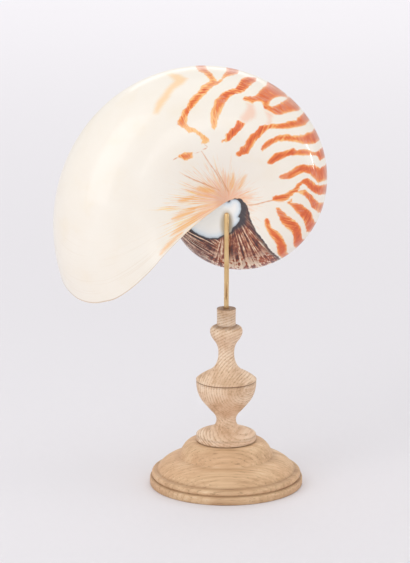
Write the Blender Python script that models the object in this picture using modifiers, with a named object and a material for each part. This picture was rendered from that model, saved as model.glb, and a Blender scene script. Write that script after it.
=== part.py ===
# One half of a chambered nautilus shell, held in a brass fork over a turned wooden stand.
# Metres, +Z up, +X to the viewer's right, +Y away from the viewer, who sees the shell's outside.
# The origin is the centre of the base's underside, on the turning axis of the stand.

import math

import bmesh
import bpy

MM = 0.001
GAP = 0.3 * MM                       # air left between two pieces that touch
OBJECT_NAME = "nautilus_shell_half"

# Stand
TURNING_STEPS = 36                   # facets round a turned piece
BASE_RADIUS = 47.9 * MM
BASE_HEIGHT = 27.9 * MM
TENON_RADIUS = 8.0 * MM
TENON_LENGTH = 13.6 * MM
BALUSTER_TOP = 112.6 * MM
ROD_DEPTH = 20.0 * MM                # how far the rod stands in the wood

# Brass fork
ROD_RADIUS = 1.5 * MM
BACK_ROD_RADIUS = 1.3 * MM
FORK_START = 117.0 * MM
FORK_END = 136.0 * MM
FRONT_REACH = 10.2 * MM              # the front prong's centre line, towards the viewer
FRONT_LEAN_START = 160.0 * MM
FRONT_TIP_REACH = 8.6 * MM
FRONT_TIP_HEIGHT = 176.0 * MM
BACK_TIP_HEIGHT = 174.0 * MM

# Shell: a logarithmic spiral about an axis along Y, sawn at CUT_Y
AXIS_X = 0.6 * MM
AXIS_Z = 182.5 * MM
CUT_Y = 10.0 * MM
SPIRAL_RADIUS = 60.8 * MM            # at angle 0, towards +X
SPIRAL_GROWTH = 0.1784               # natural logarithm of the growth for each radian
WHORL = 2.0 * math.pi
HALF_BREADTH = 0.38                  # greatest half breadth, as a share of the spiral radius
BREADTH_PLACE = 0.52                 # where along the radius that breadth lies
FLANK_POWER = 1.15                   # how gently the flank falls towards the axis
CALLUS_HEIGHT = 15.5 * MM            # the callus over the axis, off the sawn face
INNER_CALLUS = 0.2                   # the same inside, as a share of the spiral radius
WALL = 1.7 * MM
FILM = 0.4 * MM                      # inner layer laid on the whorl before
SAW_MARGIN = 2.0 * MM                # how far the cutters pass the sawn face
LIP_ANGLES = (205.0, 214.5, 220.8, 217.0, 210.8, 207.0)  # degrees, venter to axis in even steps
GROWTH_RINGS = 48
SECTION_STEPS = 14

# Chambers
LAST_SEPTUM = math.radians(82.0)
CHAMBER_ANGLE = math.radians(22.5)
SEPTUM_ANGLE = math.radians(2.0)     # thickness of a septum, as an angle
SEPTUM_BOW = math.radians(13.0)      # how far a septum's middle lies behind its edge
CHAMBER_COUNT = 24
CAVITY_END = math.radians(238.0)     # beyond the lip


def clear_scene():
    for thing in list(bpy.data.objects):
        bpy.data.objects.remove(thing, do_unlink=True)


def new_collection(name):
    collection = bpy.data.collections.new(name)
    bpy.context.scene.collection.children.link(collection)
    return collection


def new_material(name, colour, roughness, metallic):
    material = bpy.data.materials.new(name)
    material.use_nodes = True
    shader = material.node_tree.nodes["Principled BSDF"]
    shader.inputs["Base Color"].default_value = (*colour, 1.0)
    shader.inputs["Roughness"].default_value = roughness
    shader.inputs["Metallic"].default_value = metallic
    return material


def new_object(name, mesh, collection):
    thing = bpy.data.objects.new(name, mesh)
    collection.objects.link(thing)
    return thing


def finish_piece(thing, material):
    thing.data.materials.clear()
    thing.data.materials.append(material)
    thing.data.shade_smooth()
    thing.data.set_sharp_from_angle(angle=math.radians(35.0))


def baked(thing, name, collection):
    # The evaluated mesh of an object as a new plain mesh object
    depsgraph = bpy.context.evaluated_depsgraph_get()
    mesh = bpy.data.meshes.new_from_object(thing.evaluated_get(depsgraph))
    cleaner = bmesh.new()
    cleaner.from_mesh(mesh)
    bmesh.ops.remove_doubles(cleaner, verts=cleaner.verts, dist=0.001 * MM)
    cleaner.to_mesh(mesh)
    cleaner.free()
    result = new_object(name, mesh, collection)
    result.matrix_world = thing.matrix_world
    bpy.data.objects.remove(thing, do_unlink=True)
    return result


def add_boolean(thing, cutter, operation, many_bodies=False):
    # A cutter of many closed bodies is read body by body
    boolean = thing.modifiers.new(operation.lower(), "BOOLEAN")
    boolean.operation = operation
    boolean.solver = "EXACT"
    boolean.use_self = many_bodies
    boolean.object = cutter
    cutter.hide_render = True
    cutter.display_type = "WIRE"


# Turned pieces: a profile is a list of (radius, height) in millimetres


def curve_to(profile, corner, end, steps=4):
    # Adds a curve from the last point to the end, pulled towards the corner
    start = profile[-1]
    for step in range(1, steps + 1):
        t = step / steps
        near, middle, far = (1 - t) ** 2, 2 * t * (1 - t), t ** 2
        radius = near * start[0] + middle * corner[0] + far * end[0]
        height = near * start[1] + middle * corner[1] + far * end[1]
        profile.append((radius, height))


def turned_piece(name, profile, collection, material):
    mesh = bpy.data.meshes.new(name)
    points = [(radius * MM, 0.0, height * MM) for radius, height in profile]
    edges = [(index, index + 1) for index in range(len(points) - 1)]
    mesh.from_pydata(points, edges, [])
    piece = new_object(name, mesh, collection)
    screw = piece.modifiers.new("turning", "SCREW")
    screw.steps = TURNING_STEPS
    screw.render_steps = TURNING_STEPS
    screw.use_merge_vertices = True
    screw.merge_threshold = 0.00001
    finish_piece(piece, material)
    return piece


def build_base(collection):
    top = BASE_HEIGHT / MM
    bore = (TENON_RADIUS + GAP) / MM
    bore_floor = (BASE_HEIGHT - TENON_LENGTH - GAP) / MM
    rim = BASE_RADIUS / MM
    profile = [(0.0, bore_floor), (bore, bore_floor), (bore, top), (24.2, top)]
    curve_to(profile, (28.0, 27.2), (29.2, 19.6))        # upper dome
    curve_to(profile, (40.2, 18.8), (43.5, 10.7), 5)     # quarter round
    profile.append((43.3, 9.9))
    curve_to(profile, (46.9, 10.4), (47.0, 7.9), 3)      # small bead
    curve_to(profile, (46.9, 6.6), (45.9, 6.0), 2)
    profile += [(45.9, 5.6), (rim - 0.6, 5.4), (rim, 4.8), (rim, 0.6), (rim - 0.6, 0.0), (0.0, 0.0)]
    wood = new_material("pale_oak_base", (0.66, 0.46, 0.30), 0.62, 0.0)
    turned_piece("base", profile, collection, wood)


def build_baluster(collection):
    top = BALUSTER_TOP / MM
    bore = (ROD_RADIUS + GAP) / MM
    bore_floor = (BALUSTER_TOP - ROD_DEPTH - GAP) / MM
    foot = (BASE_HEIGHT + GAP) / MM
    tenon = TENON_RADIUS / MM
    tenon_end = (BASE_HEIGHT + GAP - TENON_LENGTH) / MM
    profile = [(0.0, bore_floor), (bore, bore_floor), (bore, top), (5.2, top), (5.75, top - 0.6)]
    profile += [(5.6, 107.0), (5.8, 102.2)]
    curve_to(profile, (10.0, 102.2), (10.0, 98.4), 4)    # bead
    curve_to(profile, (9.9, 95.6), (7.6, 92.8), 3)
    curve_to(profile, (4.9, 89.6), (4.9, 84.6), 3)       # neck
    curve_to(profile, (4.9, 76.8), (10.2, 73.2), 4)
    curve_to(profile, (16.4, 69.3), (18.5, 66.4), 4)     # upper bulb
    profile += [(18.5, 66.0), (18.0, 65.6), (18.45, 65.2)]
    curve_to(profile, (18.7, 58.6), (15.0, 54.0), 4)     # lower bulb
    curve_to(profile, (12.4, 50.8), (9.9, 48.0), 2)
    curve_to(profile, (6.1, 44.4), (6.1, 41.6), 3)       # lower neck
    curve_to(profile, (6.1, 36.6), (12.5, 34.8), 4)
    curve_to(profile, (18.8, 33.2), (18.85, 31.0), 4)    # foot disc
    profile += [(18.85, foot + 0.3), (18.55, foot), (tenon, foot), (tenon, tenon_end), (0.0, tenon_end)]
    wood = new_material("pale_oak_baluster", (0.70, 0.50, 0.32), 0.60, 0.0)
    turned_piece("baluster", profile, collection, wood)


# Brass fork


def rod_curve(name, points, radii, radius, collection):
    data = bpy.data.curves.new(name, "CURVE")
    data.dimensions = "3D"
    data.bevel_depth = radius
    data.bevel_resolution = 3
    data.use_fill_caps = True
    spline = data.splines.new("POLY")
    spline.points.add(len(points) - 1)
    for index, point in enumerate(points):
        spline.points[index].co = (*point, 1.0)
        spline.points[index].radius = radii[index]
    curve = bpy.data.objects.new(name, data)
    collection.objects.link(curve)
    return curve


def prong_points(start_height, reach, lean_start, tip_reach, tip_height):
    # Up the axis, an S bend out to the reach, straight up, then a lean to the tip
    bend_steps = 8
    points = [(0.0, 0.0, start_height)]
    for step in range(bend_steps + 1):
        t = step / bend_steps
        height = FORK_START + t * (FORK_END - FORK_START)
        points.append((0.0, reach * (0.5 - 0.5 * math.cos(math.pi * t)), height))
    points.append((0.0, reach, lean_start))
    round_end = 1.4 * MM
    lean = (tip_reach - reach) / (tip_height - lean_start)
    for fall in (round_end, 0.7 * MM, 0.25 * MM, 0.0):
        height = tip_height - fall
        points.append((0.0, reach + lean * (height - lean_start), height))
    return points


def tip_radii(points):
    # Full width up to the last four points, which round the end off
    return [1.0] * (len(points) - 3) + [0.88, 0.6, 0.2]


def build_fork(collection, cutters):
    foot = BALUSTER_TOP - ROD_DEPTH
    front = prong_points(foot, -FRONT_REACH, FRONT_LEAN_START, -FRONT_TIP_REACH, FRONT_TIP_HEIGHT)
    back_reach = CUT_Y + GAP + BACK_ROD_RADIUS + 0.1 * MM
    back = prong_points(FORK_START - 3.0 * MM, back_reach, 150.0 * MM, back_reach, BACK_TIP_HEIGHT)
    front_curve = rod_curve("front_prong", front, tip_radii(front), ROD_RADIUS, cutters)
    back_curve = rod_curve("back_prong", back, tip_radii(back), BACK_ROD_RADIUS, cutters)
    fork = baked(front_curve, "brass_fork", collection)
    prong = baked(back_curve, "back_prong_solid", cutters)
    add_boolean(fork, prong, "UNION")
    finish_piece(fork, new_material("brass", (0.60, 0.42, 0.20), 0.32, 1.0))


# Shell


def spiral_radius(angle):
    return SPIRAL_RADIUS * math.exp(SPIRAL_GROWTH * angle)


def section_point(radius, share, callus, inset=0.0):
    # A half section's outline: share 0 on the venter, 0.5 at the greatest breadth, 1 at the axis.
    # Gives the distance from the axis and the height off the sawn face.
    breadth = HALF_BREADTH * radius
    place = BREADTH_PLACE * radius
    if share < 0.5:
        turn = share * math.pi
        return place + (radius - place - inset) * math.cos(turn), (breadth - inset) * math.sin(turn)
    fall = 2.0 - 2.0 * share
    rise = math.sin(fall * math.pi / 2.0) ** FLANK_POWER
    return place * fall, callus - inset + (breadth - callus) * rise


def share_at(radius, distance, inset=0.0):
    # The share whose outline point lies at this distance from the axis
    place = BREADTH_PLACE * radius
    if distance <= place:
        return 1.0 - 0.5 * distance / place
    return math.acos(min(1.0, (distance - place) / (radius - place - inset))) / math.pi


def shell_point(angle, distance, height):
    return (
        AXIS_X + distance * math.cos(angle),
        CUT_Y - height,
        AXIS_Z + distance * math.sin(angle),
    )


def lip_angle(share):
    # A smooth curve through the lip's angles
    last = len(LIP_ANGLES) - 1
    place = min(max(share, 0.0), 1.0) * last
    left = min(int(place), last - 1)
    t = place - left
    before = LIP_ANGLES[max(left - 1, 0)]
    start = LIP_ANGLES[left]
    end = LIP_ANGLES[left + 1]
    after = LIP_ANGLES[min(left + 2, last)]
    bend = (2 * before - 5 * start + 4 * end - after) * t ** 2
    twist = (3 * start - before - 3 * end + after) * t ** 3
    return math.radians(start + 0.5 * ((end - before) * t + bend + twist))


def outer_rings():
    # Rings of the outside, from the whorl that the lip closes on, up to the lip itself
    start_radius = spiral_radius(math.radians(212.0) - WHORL)
    end_radius = spiral_radius(math.radians(212.0))
    rings = []
    for ring_index in range(GROWTH_RINGS + 1):
        ring = []
        for step in range(SECTION_STEPS):
            share = step / SECTION_STEPS
            distance, _ = section_point(start_radius, share, CALLUS_HEIGHT)
            start = lip_angle(share_at(end_radius, distance)) - WHORL
            angle = start + (lip_angle(share) - start) * ring_index / GROWTH_RINGS
            distance, height = section_point(spiral_radius(angle), share, CALLUS_HEIGHT)
            ring.append(shell_point(angle, distance, height))
        rings.append(ring)
    return rings


def solid_shell(collection):
    # The whole half as a solid: the outside, the sawn face and the face across the aperture
    body = bmesh.new()
    rings = [[body.verts.new(point) for point in ring] for ring in outer_rings()]
    sawn_centre = body.verts.new(shell_point(0.0, 0.0, 0.0))
    callus_top = body.verts.new(shell_point(0.0, 0.0, CALLUS_HEIGHT))
    pairs = list(zip(rings[:-1], rings[1:])) + [(rings[-1], rings[0])]
    for ring, following in pairs:
        body.faces.new((sawn_centre, ring[0], following[0]))
        for step in range(SECTION_STEPS - 1):
            body.faces.new((ring[step], ring[step + 1], following[step + 1], following[step]))
        body.faces.new((ring[-1], callus_top, following[-1]))
    bmesh.ops.recalc_face_normals(body, faces=body.faces)
    bmesh.ops.triangulate(body, faces=body.faces)
    mesh = bpy.data.meshes.new("shell")
    body.to_mesh(mesh)
    body.free()
    return new_object("shell", mesh, collection)


def wall_at(radius):
    return min(WALL, 0.3 * MM + 0.022 * radius)


def crescent_point(angle, across, along):
    # The hollow between a whorl's wall and the whorl before: across 0 on the inner side and 1 on
    # the outer side, along 0 at the sawn face and 1 at the corner by the axis
    radius = spiral_radius(angle)
    inner_radius = spiral_radius(angle - WHORL)
    callus = min(INNER_CALLUS * radius, CALLUS_HEIGHT)
    wall = wall_at(radius)
    low, high = 0.0, inner_radius
    for _ in range(30):
        corner = 0.5 * (low + high)
        outer_height = section_point(radius, share_at(radius, corner), callus, wall)[1]
        inner_height = section_point(inner_radius, share_at(inner_radius, corner), callus, -FILM)[1]
        low, high = (corner, high) if outer_height < inner_height else (low, corner)
    outer = section_point(radius, along * share_at(radius, corner), callus, wall)
    inner = section_point(inner_radius, along * share_at(inner_radius, corner), callus, -FILM)
    distance = inner[0] + (outer[0] - inner[0]) * across
    height = inner[1] + (outer[1] - inner[1]) * across
    return distance, height


def add_hollow(body, start, end, angle_steps, across_steps, along_steps, end_bow):
    # One closed cutter from a septum at the start angle to the end angle
    grid = []
    for angle_index in range(angle_steps + 1):
        t = angle_index / angle_steps
        bow = SEPTUM_BOW + (end_bow - SEPTUM_BOW) * t
        layer = []
        for row in range(-1, along_steps + 1):
            along = max(row, 0) / along_steps
            line = []
            for column in range(across_steps + 1):
                across = column / across_steps
                dish = 4.0 * across * (1.0 - across) * (1.0 - along ** 2)
                angle = start + (end - start) * t
                distance, height = crescent_point(angle, across, along)
                if row < 0:
                    height = -SAW_MARGIN
                line.append(body.verts.new(shell_point(angle - bow * dish, distance, height)))
            layer.append(line)
        grid.append(layer)
    rows = len(grid[0])
    columns = len(grid[0][0])
    for layer in (grid[0], grid[-1]):
        for row in range(rows - 1):
            for column in range(columns - 1):
                body.faces.new((layer[row][column], layer[row + 1][column],
                                layer[row + 1][column + 1], layer[row][column + 1]))
    for near, far in zip(grid[:-1], grid[1:]):
        for row in range(rows - 1):
            for column in (0, columns - 1):
                body.faces.new((near[row][column], near[row + 1][column],
                                far[row + 1][column], far[row][column]))
        for column in range(columns - 1):
            for row in (0, rows - 1):
                body.faces.new((near[row][column], near[row][column + 1],
                                far[row][column + 1], far[row][column]))


def hollow_cutter(collection):
    body = bmesh.new()
    half_septum = SEPTUM_ANGLE / 2.0
    add_hollow(body, LAST_SEPTUM + half_septum, CAVITY_END, 18, 4, 7, 0.0)
    for index in range(CHAMBER_COUNT):
        end = LAST_SEPTUM - index * CHAMBER_ANGLE
        start = end - CHAMBER_ANGLE
        steps = 4 if index < 12 else 3
        add_hollow(body, start + half_septum, end - half_septum, 2, steps, steps, SEPTUM_BOW)
    bmesh.ops.remove_doubles(body, verts=body.verts, dist=0.001 * MM)
    bmesh.ops.recalc_face_normals(body, faces=body.faces)
    bmesh.ops.triangulate(body, faces=body.faces)
    mesh = bpy.data.meshes.new("hollows")
    body.to_mesh(mesh)
    body.free()
    return new_object("hollows", mesh, collection)


def build_shell(collection, cutters):
    shell = solid_shell(collection)
    add_boolean(shell, hollow_cutter(cutters), "DIFFERENCE", many_bodies=True)
    finish_piece(shell, new_material("nautilus_shell", (0.90, 0.83, 0.74), 0.25, 0.0))


def main():
    clear_scene()
    pieces = new_collection(OBJECT_NAME)
    cutters = new_collection("cutters")
    build_base(pieces)
    build_baluster(pieces)
    build_fork(pieces, cutters)
    build_shell(pieces, cutters)


main()
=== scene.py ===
# Half of a nautilus shell on a brass fork and a turned oak stand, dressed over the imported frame.
# Metres, +Z up, the viewer looks along +Y and sees the outside of the shell.

import math
from functools import partial

import bmesh
import bpy
import numpy as np
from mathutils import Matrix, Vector


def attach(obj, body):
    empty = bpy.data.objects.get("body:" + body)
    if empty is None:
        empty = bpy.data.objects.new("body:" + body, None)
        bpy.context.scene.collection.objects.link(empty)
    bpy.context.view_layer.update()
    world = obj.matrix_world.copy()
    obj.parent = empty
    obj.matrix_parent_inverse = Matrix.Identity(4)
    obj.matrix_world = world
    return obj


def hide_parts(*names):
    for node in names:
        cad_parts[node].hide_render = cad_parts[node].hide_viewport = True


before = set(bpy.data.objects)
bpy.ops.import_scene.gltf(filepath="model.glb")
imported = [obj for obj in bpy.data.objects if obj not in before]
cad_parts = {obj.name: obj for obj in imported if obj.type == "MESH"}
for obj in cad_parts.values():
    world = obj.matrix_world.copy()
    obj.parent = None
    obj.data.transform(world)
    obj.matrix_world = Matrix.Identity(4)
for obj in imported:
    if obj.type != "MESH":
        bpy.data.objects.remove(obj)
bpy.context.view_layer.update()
mm = 0.001
whorl = 2.0 * math.pi
weldGap = 0.004 * mm
# edges turned by more degrees than this are drawn sharp
sharpAngles = {"shell": 38.0, "stand": 42.0, "fork": 50.0}


# Helpers

colourMix = {"data_type": "RGBA", "out": 2}
numberMix = {"data_type": "FLOAT"}
softStep = {"interpolation_type": "SMOOTHSTEP"}
times, timesPlus, minus = ({"operation": name} for name in ("MULTIPLY", "MULTIPLY_ADD", "SUBTRACT"))
pointFloat = {"data_type": "FLOAT", "domain": "POINT"}

# the kinds of node that are used most; a map range takes (value, from least, from most, to least, to most),
# and what is left out is 0 or 1
maths, vectorMaths = "ShaderNodeMath", "ShaderNodeVectorMath"
mapRange, ramp, mix = "ShaderNodeMapRange", "ShaderNodeValToRGB", "ShaderNodeMix"
noise, coordinates, attribute = "ShaderNodeTexNoise", "ShaderNodeTexCoord", "ShaderNodeAttribute"
combine, bumpNode, principled = "ShaderNodeCombineXYZ", "ShaderNodeBump", "ShaderNodeBsdfPrincipled"
surfaceOut = "ShaderNodeOutputMaterial"


def linear(hexColour):
    # an sRGB hex colour as linear red, green, blue, alpha
    parts = [int(hexColour[i:i + 2], 16) / 255.0 for i in (1, 3, 5)]
    return tuple(c / 12.92 if c <= 0.04045 else ((c + 0.055) / 1.055) ** 2.4 for c in parts) + (1.0,)


def addNode(tree, kind, values=(), out=0, stops=(), **settings):
    # adds one node with its settings and a ramp's (place, hex) stops, fills or links its sockets,
    # and gives back one of its outputs
    node = tree.nodes.new(kind)
    for name, value in settings.items():
        setattr(node, name, value)
    for index, (place, hexColour) in enumerate(stops):
        elements = node.color_ramp.elements
        element = elements[index] if index < 2 else elements.new(place)
        element.position = place
        element.color = linear(hexColour)
    pairs = values.items() if isinstance(values, dict) else enumerate(values)
    for socket, value in pairs:
        if isinstance(value, bpy.types.NodeSocket):
            tree.links.new(value, node.inputs[socket])
        else:
            node.inputs[socket].default_value = value
    return node.outputs[out] if len(node.outputs) else node


def newTree(name, inputs, outputs):
    # a geometry tree with named inputs, each with its kind and default, and named outputs:
    # gives the tree, a function that adds a node to it, and its inputs
    tree = bpy.data.node_groups.new(name, "GeometryNodeTree")
    for label, (kind, default) in inputs.items():
        socket = tree.interface.new_socket(label, in_out="INPUT", socket_type="NodeSocket" + kind)
        if default is not None:
            socket.default_value = default
    for label, kind in outputs.items():
        tree.interface.new_socket(label, in_out="OUTPUT", socket_type="NodeSocket" + kind)
    return tree, partial(addNode, tree), tree.nodes.new("NodeGroupInput").outputs


def addObject(name, data):
    added = bpy.data.objects.new(name, data)
    bpy.context.scene.collection.objects.link(added)
    return added


def runTree(name, tree, sizes, path=None):
    # runs a tree on a path, or else on an empty mesh, and keeps the result as a plain mesh
    holder = addObject(name + "Source", path or bpy.data.meshes.new(name + "Source"))
    modifier = holder.modifiers.new("maker", "NODES")
    modifier.node_group = tree
    for item in tree.interface.items_tree:
        if item.in_out == "INPUT" and item.name in sizes:
            modifier[item.identifier] = sizes[item.name]
    bpy.context.view_layer.update()
    evaluated = holder.evaluated_get(bpy.context.evaluated_depsgraph_get())
    mesh = bpy.data.meshes.new_from_object(evaluated)
    mesh.name = name
    bpy.data.objects.remove(holder, do_unlink=True)
    return addObject(name, mesh)


def perMetre(size):
    # a noise's scale from the size of its patches in millimetres
    return 1.0 / (size * mm)


def newMaterial(name):
    # an empty material and a function that adds a node to it
    material = bpy.data.materials.new(name)
    material.use_nodes = True
    material.node_tree.nodes.clear()
    return material, partial(addNode, material.node_tree)


# Shell: every section is the same outline, grown by the spiral and turned about the axis

shellSizes = {
    "axisX": 0.6 * mm,
    "axisZ": 182.5 * mm,
    "cutY": 10.0 * mm,
    "radiusAtRight": 60.72 * mm,    # spiral radius towards +X
    "growth": 0.1784,               # natural log of the growth for each radian
    "breadth": 0.38,                # greatest half breadth over the radius
    "breadthPlace": 0.52,           # where along the radius it lies
    "flankPower": 1.15,
    "callus": 15.5 * mm,            # height over the sawn face at the axis
    "outerCallus": 0.614,           # the same over the radius, on the small whorls' outside
    "innerCallus": 0.2,             # and on the hollows
    "wall": 1.7 * mm,
    "startRadius": 3.7 * mm,
    "wallRows": 500,
    "skinColumns": 84,
}
shellCentre = (shellSizes["axisX"], shellSizes["cutY"], shellSizes["axisZ"])
# where the lip lies, in degrees, from the venter to the axis in even steps
lipAngles = (205.0, 209.6, 214.3, 217.6, 219.4, 218.5, 216.1, 213.5, 210.8, 208.6, 207.0)
septaSizes = {
    "lastAngle": math.radians(82.0),
    "step": math.radians(22.5),
    "count": 30,
    "bow": math.radians(13.0),      # how far the middle of a septum lies behind its edge
    "thickness": math.radians(1.3),
    "outerCorner": 0.95,            # shares where the outer and inner sides of a hollow meet
    "innerCorner": 0.86,
    "rows": 26,
    "columns": 22,
}
siphuncleSizes = {
    "place": 0.60,                  # over the spiral radius
    "radius": 0.021,                # likewise
    "rows": 700,
    "columns": 7,
    "length": 28.5,                 # in chambers, back from the last septum
    "stump": math.radians(9.5),     # how far before the last septum's edge it is broken off
}


def sectionTree():
    # distance from the axis and height off the sawn face, for a share from the venter to the axis
    sizes = shellSizes
    tree, add, given = newTree(
        "nautilusSection",
        {"Radius": ("Float", 0.1), "Share": ("Float", 0.0), "Callus": ("Float", 0.0), "Inset": ("Float", 0.0)},
        {"Distance": "Float", "Height": "Float"},
    )
    radius, share, callus, inset = (given[label] for label in ("Radius", "Share", "Callus", "Inset"))
    half = add(maths, (share, 0.5), operation="MINIMUM")
    turn = add(maths, (half, math.pi), **times)
    cosine = add(maths, (turn,), operation="COSINE")
    sine = add(maths, (turn,), operation="SINE")
    doubled = add(maths, (share, -2.0, 2.0), **timesPlus)
    fall = add(maths, (doubled, 1.0), operation="MINIMUM")
    fallTurn = add(maths, (fall, math.pi / 2.0), **times)
    fallSine = add(maths, (fallTurn,), operation="SINE")
    rise = add(maths, (fallSine, sizes["flankPower"]), operation="POWER")
    inward = add(maths, (fall, sizes["breadthPlace"]), **times)
    place = add(maths, (cosine, 1.0 - sizes["breadthPlace"], inward), **timesPlus)
    reach = add(maths, (place, radius), **times)
    setBack = add(maths, (inset, cosine), **times)
    distance = add(maths, (reach, setBack), **minus)
    breadth = add(maths, (radius, sizes["breadth"]), **times)
    overCallus = add(maths, (breadth, callus), **minus)
    flank = add(maths, (overCallus, rise, callus), **timesPlus)
    lowered = add(maths, (flank, inset), **minus)
    height = add(maths, (lowered, sine), **times)
    add("NodeGroupOutput", {"Distance": distance, "Height": height})
    return tree


def placeTree():
    # a point from its angle about the axis, distance from it and height off the sawn face
    tree, add, given = newTree(
        "nautilusPlace",
        {"Angle": ("Float", 0.0), "Distance": ("Float", 0.0), "Height": ("Float", 0.0)},
        {"Point": "Vector"},
    )
    cosine = add(maths, (given["Angle"],), operation="COSINE")
    sine = add(maths, (given["Angle"],), operation="SINE")
    right = add(maths, (cosine, given["Distance"]), **times)
    up = add(maths, (sine, given["Distance"]), **times)
    out = add(maths, (given["Height"], -1.0), **times)
    point = add(combine, (right, out, up))
    add("NodeGroupOutput", {"Point": point})
    return tree


sectionGroup = {"node_tree": sectionTree()}
placeGroup = {"node_tree": placeTree()}


def addLoopGrid(add, rows, columns):
    # a grid whose columns run out along one skin and back along the other, its last column on its first:
    # gives the grid, the row from 0 to 1, the share from 0 to 1 and back, and 1 on the second skin
    around = 2 * columns
    grid = add("GeometryNodeMeshGrid", {"Vertices X": rows, "Vertices Y": around + 1})
    index = add("GeometryNodeInputIndex")
    row = add(maths, (index, float(around + 1)), operation="DIVIDE")
    wholeRow = add(maths, (row,), operation="FLOOR")
    along = add(maths, (wholeRow, float(rows - 1)), operation="DIVIDE")
    column = add(maths, (index, float(around + 1)), operation="MODULO")
    wrapped = add(maths, (column, float(around)), operation="MODULO")
    second = add(maths, (wrapped, columns - 0.5), operation="GREATER_THAN")
    firstShare = add(maths, (wrapped, float(columns - 1)), operation="DIVIDE")
    back = add(maths, (float(around - 1), wrapped), **minus)
    secondShare = add(maths, (back, float(columns - 1)), operation="DIVIDE")
    share = add(mix, {0: second, 2: firstShare, 3: secondShare}, **numberMix)
    return grid, along, share, second


def finishTree(add, geometry, pieceMaterials):
    # welds the seams, realizes, and sets a material for each selection
    welded = add("GeometryNodeMergeByDistance", {"Geometry": geometry, "Distance": weldGap})
    realized = add("GeometryNodeRealizeInstances", {"Geometry": welded})
    for material, selection in pieceMaterials:
        chosen = {"Geometry": realized, "Material": material}
        if selection is not None:
            chosen["Selection"] = selection
        realized = add("GeometryNodeSetMaterial", chosen)
    add("NodeGroupOutput", {"Geometry": realized})


def wallTree(outside, nacre, sawn):
    sizes = shellSizes
    tree, add, given = newTree(
        "nautilusWall",
        {"Wall": ("Float", sizes["wall"]), "Growth": ("Float", sizes["growth"])},
        {"Geometry": "Geometry"},
    )
    grid, along, share, inner = addLoopGrid(add, sizes["wallRows"], sizes["skinColumns"])
    lip = add("ShaderNodeFloatCurve", {"Value": share})
    curve = lip.node.mapping.curves[0]
    low, high = min(lipAngles), max(lipAngles)
    for step, angle in enumerate(lipAngles):
        place = step / (len(lipAngles) - 1)
        level = (angle - low) / (high - low)
        if step == 0:
            curve.points[0].location = (place, level)
        elif place == 1.0:
            curve.points[-1].location = (place, level)
        else:
            curve.points.new(place, level)
    lip.node.mapping.update()
    lipAngle = add(mapRange, (lip, 0.0, 1.0, math.radians(low), math.radians(high)))
    lipPower = add(maths, (lipAngle, given["Growth"]), **times)
    lipGrown = add(maths, (lipPower,), operation="EXPONENT")
    lipRadius = add(maths, (lipGrown, sizes["radiusAtRight"]), **times)
    radius = add(mix, {0: along, 2: sizes["startRadius"], 3: lipRadius}, **numberMix)
    grown = add(maths, (radius, sizes["radiusAtRight"]), operation="DIVIDE")
    power = add(maths, (grown, math.e), operation="LOGARITHM")
    angle = add(maths, (power, given["Growth"]), operation="DIVIDE")
    # the wall thins over its last rows and closes on the lip and on the first chamber
    toLip = add(maths, (1.0, along), **minus)
    nearLip = add(mapRange, (toLip, 0.0, 0.03, 0.55, 1.0))
    lipEdge = add(mapRange, (toLip, 0.0, 0.003), **softStep)
    startEdge = add(mapRange, (along, 0.0, 0.003))
    small = add(maths, (radius, 0.022, 0.3 * mm), **timesPlus)
    thickness = add(maths, (small, given["Wall"]), operation="MINIMUM")
    for factor in (nearLip, lipEdge, startEdge, inner):
        thickness = add(maths, (thickness, factor), **times)
    callusShare = add(mix, {0: inner, 2: sizes["outerCallus"], 3: sizes["innerCallus"]}, **numberMix)
    callusGrown = add(maths, (radius, callusShare), **times)
    callus = add(maths, (callusGrown, sizes["callus"]), operation="MINIMUM")
    # the inner skin stops just short of the axis, so that no face there has no width
    short = add(mix, {0: inner, 2: 1.0, 3: 0.985}, **numberMix)
    skinShare = add(maths, (share, short), **times)
    distance = add("GeometryNodeGroup",
                   {"Radius": radius, "Share": skinShare, "Callus": callus, "Inset": thickness}, **sectionGroup)
    height = distance.node.outputs["Height"]
    point = add("GeometryNodeGroup", {"Angle": angle, "Distance": distance, "Height": height}, **placeGroup)
    shaped = add("GeometryNodeSetPosition", {"Geometry": grid, "Position": point})
    lipGap = add(maths, (lipAngle, angle), **minus)
    fields = {"angle": angle, "share": skinShare, "innerSkin": inner, "axisDistance": distance, "lipGap": lipGap}
    for label, field in fields.items():
        shaped = add("GeometryNodeStoreNamedAttribute", {"Geometry": shaped, "Name": label, "Value": field},
                     **pointFloat)
    skin = add("GeometryNodeInputNamedAttribute", {"Name": "innerSkin"}, data_type="FLOAT")
    onFace = add("GeometryNodeFieldOnDomain", {0: skin}, data_type="FLOAT", domain="FACE")
    isInner = add("FunctionNodeCompare", {0: onFace, 1: 0.95}, data_type="FLOAT", operation="GREATER_THAN")
    aboveNone = add("FunctionNodeCompare", {0: onFace, 1: 0.05}, data_type="FLOAT", operation="GREATER_THAN")
    belowAll = add("FunctionNodeCompare", {0: onFace, 1: 0.95}, data_type="FLOAT", operation="LESS_THAN")
    isRim = add("FunctionNodeBooleanMath", (aboveNone, belowAll), operation="AND")
    moved = add("GeometryNodeTransform", {"Geometry": shaped, "Translation": shellCentre})
    finishTree(add, moved, ((outside, None), (nacre, isInner), (sawn, isRim)))
    return tree


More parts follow.
